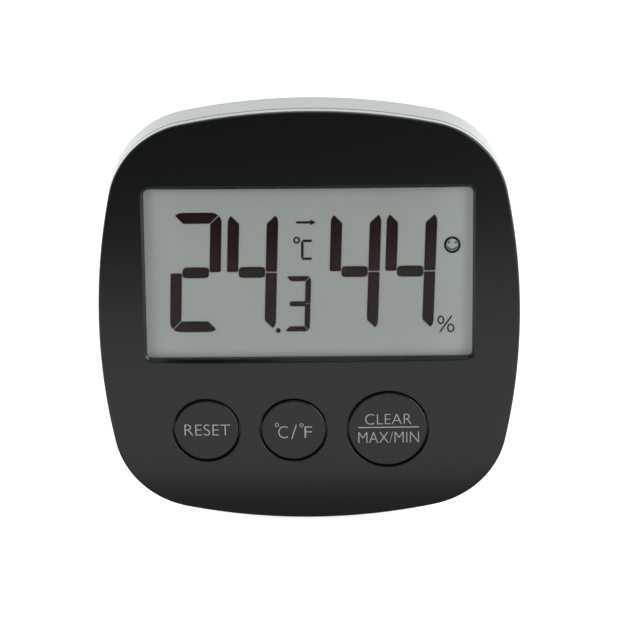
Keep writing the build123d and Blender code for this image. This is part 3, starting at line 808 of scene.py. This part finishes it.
PANEL_BLACK = Finish(
    "panel_black", (0.0034, 0.0041, 0.0039), roughness=0.22, spread=0.04, grain=0.00012,
    depth=0.0000004, specular=0.34, rounding=0.0004, edge=0.1,
    edge_colour=(0.03, 0.032, 0.033), dust=0.003,
)
FINISHES: tuple[Finish, ...] = (
    PANEL_BLACK,
    replace(PANEL_BLACK, slot="button_black", rounding=0.00008),
    Finish("frame_grey", (0.8, 0.82, 0.82), roughness=0.42, grain=0.00025, dust=0.03),
    SeamedFinish("shell_grey", (0.722, 0.762, 0.762), roughness=0.46, grain=0.0003, dust=0.04),
    ClearFinish("lens_clear", (0.95, 0.96, 0.95), roughness=0.08, spread=0.02, edge=0, dust=0),
    Finish("lens_tape", (0.02, 0.02, 0.02), roughness=0.7, edge=0),
    Finish(
        "gasket_foam", (0.022, 0.022, 0.023), roughness=0.9, grain=0.0002, depth=0.00004,
        specular=0.15, edge=0,
    ),
    FilmFinish(
        "display_film", (0.255, 0.278, 0.263), roughness=0.6, spread=0.06, grain=0.00009,
        depth=0.0000004, specular=0.2, edge=0, dust=0,
    ),
    Finish("display_glass", (0.3, 0.33, 0.31), roughness=0.15, spread=0.03, edge=0),
    Finish("reflector_film", (0.6, 0.62, 0.6), roughness=0.3, metallic=0.8, edge=0),
    Finish("carrier_white", (0.75, 0.76, 0.75), roughness=0.5),
    Finish("connector_rubber", (0.06, 0.06, 0.065), roughness=0.8, grain=0.0002),
    BoardFinish("board_green", (0.012, 0.085, 0.03), roughness=0.3, edge_colour=(0.5, 0.5, 0.3)),
    Finish(
        "screw_steel", (0.5, 0.5, 0.51), roughness=0.3, metallic=1.0, spread=0.2,
        grain=0.00008, effect=Effect.STREAK,
    ),
    Finish("chip_epoxy", (0.01, 0.01, 0.011), roughness=0.25, spread=0.1, depth=0.00001),
    Finish(
        "crystal_can", (0.6, 0.6, 0.6), roughness=0.2, metallic=1.0, effect=Effect.STREAK
    ),
    Finish("resistor_body", (0.02, 0.02, 0.022), roughness=0.35),
    Finish("capacitor_body", (0.35, 0.24, 0.14), roughness=0.4),
    Finish("sensor_element", (0.8, 0.8, 0.78), roughness=0.6),
    Finish("thermistor_bead", (0.02, 0.02, 0.02), roughness=0.25),
    Finish("switch_body", (0.03, 0.03, 0.03), roughness=0.4),
    Finish("switch_plunger", (0.6, 0.6, 0.58), roughness=0.4),
    SleeveFinish("cell_sleeve", (0.012, 0.012, 0.014), roughness=0.25, spread=0.05, edge=0.1),
    Finish(
        "contact_nickel", (0.66, 0.65, 0.62), roughness=0.28, metallic=1.0, spread=0.2,
        grain=0.0001, effect=Effect.STREAK,
    ),
    Finish("pad_rubber", (0.02, 0.02, 0.021), roughness=0.85, grain=0.0002, depth=0.00002),
    Finish(
        "magnet_nickel", (0.62, 0.62, 0.61), roughness=0.22, metallic=1.0, spread=0.15,
        grain=0.0002,
    ),
)
DISPLAY_INK = Finish(
    "display_ink", (0.0085, 0.0025, 0.0022), roughness=0.7, spread=0.05, specular=0.1,
    edge=0, dust=0,
)
SYMBOL_INK = replace(DISPLAY_INK, slot="symbol_ink", colour=(0.006, 0.008, 0.0075))
LEGEND_INK = Finish(
    "legend_ink", (0.3, 0.305, 0.305), roughness=0.55, spread=0.08, grain=0.0001, edge=0,
    dust=0,
)


# Case


@dataclass
class CaseDressing:
    """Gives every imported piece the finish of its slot."""

    finishes: tuple[Finish, ...] = FINISHES
    made: dict[str, bpy.types.Material] = field(default_factory=dict)

    def dress(self) -> None:
        """Builds the finishes and puts each one on the pieces that the record gives it to."""
        self.made = {finish.slot: finish.make() for finish in self.finishes}
        for name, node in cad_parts.items():
            for index, slot in enumerate(node.material_slots):
                finish = slot.material.name.split(".")[0] if slot.material else ""
                if finish in self.made:
                    node.material_slots[index].material = self.made[finish]
                else:
                    LOG.warning("%s has no finish for %s", name, finish)
            LOG.info("%s dressed", name)


@dataclass
class SeamLine:
    """A dark band in the narrow gap between the front frame and the rear shell, painted shade
    standing in for the seam's shadow line.
    """

    outline: CaseOutline = CaseOutline()
    low: float = 1.41
    height: float = 0.16
    inset: float = 0.02
    width: float = 0.3

    def _ground(self, x: float, y: float) -> float:
        """Gives the level of the dark band's back."""
        return self.low

    def build(self, material: bpy.types.Material) -> None:
        """Lays the dark band of painted shade in the narrow gap at the seam.

        Args:
            material: its dark material, the gasket foam's finish.
        """
        # Painted shade: a dark band fills the seam's gap so that the seam shows as a dark line.
        draft = ThinPrint(self._ground, thickness=self.height)
        inner = self.outline.points(self.inset + self.width)
        draft.band(inner, self.outline.points(self.inset), True)
        draft.build("seam_shade_band", "gasket_foam", "case", material)


# Display


class Bar(Enum):
    """The seven bars of a digit."""

    TOP = "a"
    UPPER_RIGHT = "b"
    LOWER_RIGHT = "c"
    BOTTOM = "d"
    LOWER_LEFT = "e"
    UPPER_LEFT = "f"
    MIDDLE = "g"


LIT: dict[str, str] = {"2": "abged", "3": "abgcd", "4": "fgbc"}


@dataclass(frozen=True)
class DigitStyle:
    """The shape of one size of digit."""

    width: float
    height: float
    upright: float
    beam: float
    gap: float
    corner: float
    dash: float
    tip: float
    slant: float = 0.033
    mitre: float = 45.0
    dash_round_share: float = 0.36
    round_steps: int = 5
    tip_steps: int = 3

    def _outer_corner(self, start: float, end: float) -> list[Point]:
        """Gives the rounded outer corner of a bar, between two angles."""
        centre = (self.width / 2 - self.corner, self.height / 2 - self.corner)
        return arc(centre, (self.corner, self.corner), start, end, self.round_steps)

    @property
    def _cut(self) -> float:
        """The angle on the outer corner that the gap between two bars takes away."""
        return math.degrees(self.gap / 2 / self.corner)

    def _beam(self) -> list[Point]:
        """Gives the top bar.

        Returns:
            Its outline, counter-clockwise.
        """
        inner = self.width / 2 - self.upright - self.gap / 2
        right = self._outer_corner(90.0, self.mitre + self._cut)
        right.append((inner, self.height / 2 - self.beam))
        return (mirrored(right, -1, 1) + right[::-1])[::-1]

    def _upright(self) -> list[Point]:
        """Gives the upper right bar.

        Returns:
            Its outline, counter-clockwise.
        """
        half, low = self.width / 2, self.gap / 2
        inner, tip = half - self.upright, self.tip
        return [
            (inner, self.height / 2 - self.beam - self.gap / 2),
            *arc((inner + tip, low + tip), (tip, tip), 180, 270, self.tip_steps),
            *arc((half - tip, low + tip), (tip, tip), 270, 360, self.tip_steps),
            *self._outer_corner(0.0, self.mitre - self._cut),
        ]

    def _dash(self) -> list[Point]:
        """Gives the middle bar.

        Returns:
            Its outline, counter-clockwise.
        """
        end = self.beam * self.dash_round_share
        centre = (self.dash - end, self.beam / 2 - end)
        quarter = arc(centre, (end, end), 0, 90, self.round_steps)
        upper = quarter + mirrored(quarter[::-1], -1, 1)
        return upper + mirrored(quarter, -1, -1) + mirrored(quarter[::-1], 1, -1)

    def outline(self, bar: Bar) -> list[Point]:
        """Gives the outline of one bar about the digit's centre.

        Args:
            bar: which bar it is.

        Returns:
            Its corners, counter-clockwise.
        """
        if bar is Bar.MIDDLE:
            return self._dash()
        if bar in (Bar.TOP, Bar.BOTTOM):
            shape, signs = self._beam(), (1, 1 if bar is Bar.TOP else -1)
        else:
            shape = self._upright()
            signs = (
                1 if bar in (Bar.UPPER_RIGHT, Bar.LOWER_RIGHT) else -1,
                1 if bar in (Bar.UPPER_RIGHT, Bar.UPPER_LEFT) else -1,
            )
        turned = mirrored(shape, *signs)
        return turned if signs[0] * signs[1] > 0 else turned[::-1]


@dataclass(frozen=True)
class DigitRow(Mark):
    """Digits of one size in a row, each with the x of its middle."""

    style: DigitStyle
    middle: float
    places: tuple[tuple[str, float], ...]

    def draw(self, draft: ThinPrint) -> None:
        """Adds the digits to a print.

        Args:
            draft: the print that takes them.
        """
        for figure, centre in self.places:
            for letter in LIT[figure]:
                shape = self.style.outline(Bar(letter))
                draft.prism(
                    [(centre + x + self.style.slant * y, self.middle + y) for x, y in shape]
                )


@dataclass
class Display:
    """The marks of the display: large and small digits and the small symbols."""

    level: float = 1.905
    thickness: float = 0.03
    large: DigitRow = DigitRow(
        DigitStyle(
            width=9.03, height=22.84, upright=2.05, beam=2.1, gap=0.17, corner=2.0, dash=2.4,
            tip=0.3,
        ),
        middle=8.38,
        places=(("2", -20.37), ("4", -10.25), ("4", 8.21), ("4", 18.22)),
    )
    small: DigitRow = DigitRow(
        DigitStyle(
            width=4.65, height=10.65, upright=1.0, beam=1.0, gap=0.13, corner=0.9, dash=1.45,
            tip=0.15,
        ),
        middle=2.28,
        places=(("3", -2.1),),
    )
    point: Dot = Dot((-5.67, -2.84), (0.44, 0.47), 24)
    arrow: tuple[Mark, ...] = (
        Stroke(0.44, ((-2.07, 17.8), (0.6, 17.8))),
        Patch(((0.32, 18.34), (0.32, 17.26), (1.34, 17.8))),
    )
    degree: tuple[Mark, ...] = (
        Ring((-2.15, 14.45), (0.62, 0.66), 0.31),
        Stroke(0.46, ((-0.93, 14.3), (0.4, 14.3))),
        Stroke(0.46, ((-1.13, 14.0), (-1.15, 12.75))),
        Stroke(0.46, ((-1.16, 12.43), (-1.19, 11.2))),
        Stroke(0.46, ((-1.0, 10.9), (0.36, 10.9))),
    )
    comfort: tuple[Mark, ...] = (
        Ring((25.76, 13.34), (1.5, 1.59), 0.44),
        Dot((25.14, 13.8), (0.18, 0.19)),
        Dot((26.38, 13.8), (0.18, 0.19)),
        Stroke(0.2, tuple(arc((25.76, 13.36), (0.86, 0.9), 205, 335, 14))),
    )
    percent: tuple[Mark, ...] = (
        Ring((23.76, -1.06), (0.62, 0.82), 0.26),
        Ring((25.55, -2.62), (0.66, 0.82), 0.26),
        Stroke(0.25, ((23.62, -3.32), (25.7, -0.3))),
    )

    def _ground(self, x: float, y: float) -> float:
        """Gives the level that the marks lie on."""
        return self.level

    def build(self) -> None:
        """Builds the digits and the symbols."""
        for name, marks, ink in (
            ("display_digits", (self.large, self.small, self.point), DISPLAY_INK),
            (
                "display_symbols",
                (*self.arrow, *self.degree, *self.comfort, *self.percent),
                SYMBOL_INK,
            ),
        ):
            draft = ThinPrint(self._ground, self.thickness)
            for mark in marks:
                mark.draw(draft)
            draft.build(name, "display_film", "case", ink.make())


# Buttons


@dataclass(frozen=True)
class Word:
    """A word of a legend and the box that it fills on the face."""

    text: str
    left: float
    right: float
    top: float
    bottom: float


@dataclass
class Legend:
    """The printed legend of one button: words and other marks."""

    button: str
    words: tuple[Word, ...] = ()
    marks: tuple[Mark, ...] = ()
    lift: float = 0.004
    thickness: float = 0.012
    thinning: float = -0.017
    font_depth: float = 0.5

    def _ground(self, x: float, y: float) -> float:
        """Gives the level of the cap under a point of the legend."""
        return FACE.crown(x, y) + self.lift

    def _letters(self, word: Word, draft: ThinPrint) -> None:
        """Lays the letters of a word on the cap.

        Args:
            word: the word and its box.
            draft: the print that takes the letters.
        """
        curve = bpy.data.curves.new("letters", "FONT")
        curve.body = word.text
        curve.offset = self.thinning
        curve.extrude = self.font_depth
        holder = bpy.data.objects.new("letters", curve)
        bpy.context.scene.collection.objects.link(holder)
        bpy.context.view_layer.update()
        mesh = bpy.data.meshes.new_from_object(
            holder.evaluated_get(bpy.context.evaluated_depsgraph_get())
        )
        corners = [vertex.co.copy() for vertex in mesh.vertices]
        xs, ys = [c.x for c in corners], [c.y for c in corners]
        across = (word.right - word.left) / (max(xs) - min(xs))
        upward = (word.top - word.bottom) / (max(ys) - min(ys))
        start = len(draft.corners)
        for corner in corners:
            x = word.left + (corner.x - min(xs)) * across
            y = word.bottom + (corner.y - min(ys)) * upward
            height = self.thickness if corner.z > 0 else 0.0
            draft.corners.append(FACE.place(x, y, self._ground(x, y) + height))
        draft.faces += [tuple(start + i for i in face.vertices) for face in mesh.polygons]
        bpy.data.objects.remove(holder)
        bpy.data.curves.remove(curve)
        bpy.data.meshes.remove(mesh)

    def build(self, ink: bpy.types.Material) -> None:
        """Builds the legend so that it moves with its button.

        Args:
            ink: what it is printed with.
        """
        draft = ThinPrint(self._ground, self.thickness)
        for word in self.words:
            self._letters(word, draft)
        for mark in self.marks:
            mark.draw(draft)
        draft.build(f"{self.button}_legend", "button_black", f"{self.button}_button", ink)


LEGENDS: tuple[Legend, ...] = (
    Legend(
        "reset", words=(Word("RESET", left=-22.95, right=-14.65, top=-20.22, bottom=-22.42),)
    ),
    Legend(
        "unit",
        words=(
            Word("C", left=-5.86, right=-4.12, top=-20.62, bottom=-23.0),
            Word("F", left=-1.08, right=0.3, top=-20.72, bottom=-22.98),
        ),
        marks=(
            Stroke(0.19, ((-3.42, -23.14), (-2.58, -20.4))),
            Ring((-6.1, -20.36), (0.36, 0.3816), 0.13, 28),
            Ring((-1.62, -20.46), (0.36, 0.3816), 0.13, 28),
        ),
    ),
    Legend(
        "clear",
        words=(
            Word("CLEAR", left=9.96, right=18.42, top=-18.4, bottom=-20.46),
            Word("MAX/MIN", left=8.72, right=19.76, top=-21.96, bottom=-24.12),
        ),
        marks=(Stroke(0.2, ((8.8, -21.04), (19.66, -21.04))),),
    ),
)


# Studio


@dataclass(frozen=True)
class Lamp:
    """A soft square lamp that looks at the object and that the camera doesn't see."""

    name: str
    place: Place
    power: float
    size: float = 0.6
    aim: Place = (0.0, 0.0, 0.04)

    def hang(self) -> None:
        """Hangs the lamp."""
        light = bpy.data.lights.new(self.name, "AREA")
        light.size = self.size
        light.energy = self.power
        holder = bpy.data.objects.new(self.name, light)
        bpy.context.scene.collection.objects.link(holder)
        turn = (Vector(self.aim) - Vector(self.place)).to_track_quat("-Z", "Y")
        holder.matrix_world = Matrix.Translation(self.place) @ turn.to_matrix().to_4x4()
        holder.visible_camera = False


@dataclass
class Studio:
    """The floor, the lamps, the world and the camera.

    Lengths are metres, apart from the camera's place, which is millimetres on the face.
    """

    floor_half: float = 1.5
    floor_colour: Colour = (0.9, 0.9, 0.9)
    floor_glow: float = 0.55
    card_distance: float = 0.4
    card_turn: float = math.tan(math.radians(34.0))
    card_half: float = 0.7
    card_top: float = 0.9
    card_shade: float = 0.003
    strip_shade: float = 0.42
    strip_reach: float = 0.032
    strip_half: float = 0.06
    strip_level: float = 0.0002
    lamps: tuple[Lamp, ...] = (
        Lamp("left_lamp", (-0.62, -0.32, 0.29), 4.3),
        Lamp("right_lamp", (0.62, -0.32, 0.29), 5.2),
    )
    sky: float = 0.37
    sky_seen_gain: float = 0.63
    camera_place: Place = (2.3233, 233.8656, 625.7986)
    camera_right: Place = (0.999963919, -0.00814893681, 0.00239916084)
    camera_down: Place = (-0.00847179616, -0.935901504, 0.352159911)
    camera_near: float = 0.01
    focal_pixels: float = 3687.4457
    image_pixels: float = 640.0
    sensor: float = 36.0

    def _seen(self, graph: Graph) -> object:
        """Masks the rays of the camera and of what mirrors or lets through the backdrop.

        Args:
            graph: the graph of the floor or the world.

        Returns:
            The socket of the mask.
        """
        path = graph.add("LightPath")
        shown = graph.math(
            "MAXIMUM", path.outputs["Is Camera Ray"], path.outputs["Is Glossy Ray"]
        )
        return graph.math("MAXIMUM", shown, path.outputs["Is Transmission Ray"])

    def _sheet(self, name: str, corners: list[Vector]) -> bpy.types.Object:
        """Makes a four-cornered sheet of the studio.

        Args:
            name: its name.
            corners: its corners, counter-clockwise.

        Returns:
            The new sheet.
        """
        mesh = bpy.data.meshes.new(name)
        mesh.from_pydata(corners, [], [(0, 1, 2, 3)])
        sheet = bpy.data.objects.new(name, mesh)
        bpy.context.scene.collection.objects.link(sheet)
        return sheet

    def floor(self) -> None:
        """Lays a plain pale floor that keeps the object's shadow."""
        signs = ((-1, -1), (1, -1), (1, 1), (-1, 1))
        corners = [Vector((x * self.floor_half, y * self.floor_half, 0)) for x, y in signs]
        sheet = self._sheet("floor", corners)
        material = bpy.data.materials.new("floor_white")
        material.use_nodes = True
        material.node_tree.nodes.clear()
        graph = Graph(material.node_tree)
        white = graph.feed(graph.add("BsdfDiffuse"), Color=rgba(self.floor_colour))
        glow = graph.add("Emission")
        graph.feed(glow, Strength=graph.math("MULTIPLY", self._seen(graph), self.floor_glow))
        both = graph.add("AddShader")
        graph.feed(both, i0=white.outputs[0], i1=glow.outputs[0])
        graph.feed(graph.add("OutputMaterial"), Surface=both.outputs[0])
        sheet.data.materials.append(material)

    def card(self) -> None:
        """Stands a dark card in front and lays a grey strip before it, for mirrored rays only."""
        ends = [
            Vector((x, -self.card_distance - x * self.card_turn, 0))
            for x in (-self.card_half, self.card_half)
        ]
        up = Vector((0, 0, self.card_top))
        far, front = cad_box[0][1] - self.strip_reach, cad_box[0][1]
        strip = [
            Vector((x * self.strip_half, y, self.strip_level))
            for x, y in ((-1, far), (1, far), (1, front), (-1, front))
        ]
        for name, corners, shade in (
            ("dark_card", [ends[0], ends[1], ends[1] + up, ends[0] + up], self.card_shade),
            ("dark_strip", strip, self.strip_shade),
        ):
            sheet = self._sheet(name, corners)
            for rays in ("camera", "diffuse", "transmission", "volume_scatter", "shadow"):
                setattr(sheet, f"visible_{rays}", False)
            material = bpy.data.materials.new(name)
            material.use_nodes = True
            shader = material.node_tree.nodes["Principled BSDF"]
            shader.inputs["Base Color"].default_value = rgba((shade, shade, shade))
            shader.inputs["Roughness"].default_value = 1.0
            sheet.data.materials.append(material)

    def world(self) -> None:
        """Sets an even sky, white where the backdrop is seen."""
        world = bpy.data.worlds.new("sky")
        bpy.context.scene.world = world
        world.use_nodes = True
        world.node_tree.nodes.clear()
        graph = Graph(world.node_tree)
        sky = graph.add("Background")
        extra = graph.math("MULTIPLY", self._seen(graph), self.sky_seen_gain)
        graph.feed(sky, Color=(1, 1, 1, 1), Strength=graph.math("ADD", self.sky, extra))
        graph.feed(graph.add("OutputWorld"), Surface=sky.outputs[0])

    def camera(self) -> None:
        """Sets the camera where the photo was taken from."""
        right = FACE.direction(*self.camera_right)
        down = FACE.direction(*self.camera_down)
        lens = bpy.data.cameras.new("camera")
        lens.sensor_width = self.sensor
        lens.lens = self.focal_pixels / self.image_pixels * self.sensor
        lens.clip_start = self.camera_near
        holder = bpy.data.objects.new("camera", lens)
        bpy.context.scene.collection.objects.link(holder)
        turn = Matrix((right, -down, right.cross(-down))).transposed().to_4x4()
        holder.matrix_world = Matrix.Translation(FACE.place(*self.camera_place)) @ turn
        bpy.context.scene.camera = holder

    def build(self) -> None:
        """Builds the whole studio."""
        bpy.context.scene.view_settings.view_transform = "Standard"
        self.floor()
        self.card()
        for lamp in self.lamps:
            lamp.hang()
        self.world()
        self.camera()
        LOG.info("studio built")


def main() -> None:
    """Builds every dressing in order."""
    logging.basicConfig(level=logging.INFO, format="%(message)s")
    EFFECTS.build()
    dressing = CaseDressing()
    dressing.dress()
    # The seam's dark band is painted shade, coloured with the gasket foam's finish.
    SeamLine().build(dressing.made["gasket_foam"])
    Display().build()
    ink = LEGEND_INK.make()
    for legend in LEGENDS:
        legend.build(ink)
    Studio().build()


if __name__ == "__main__":
    main()
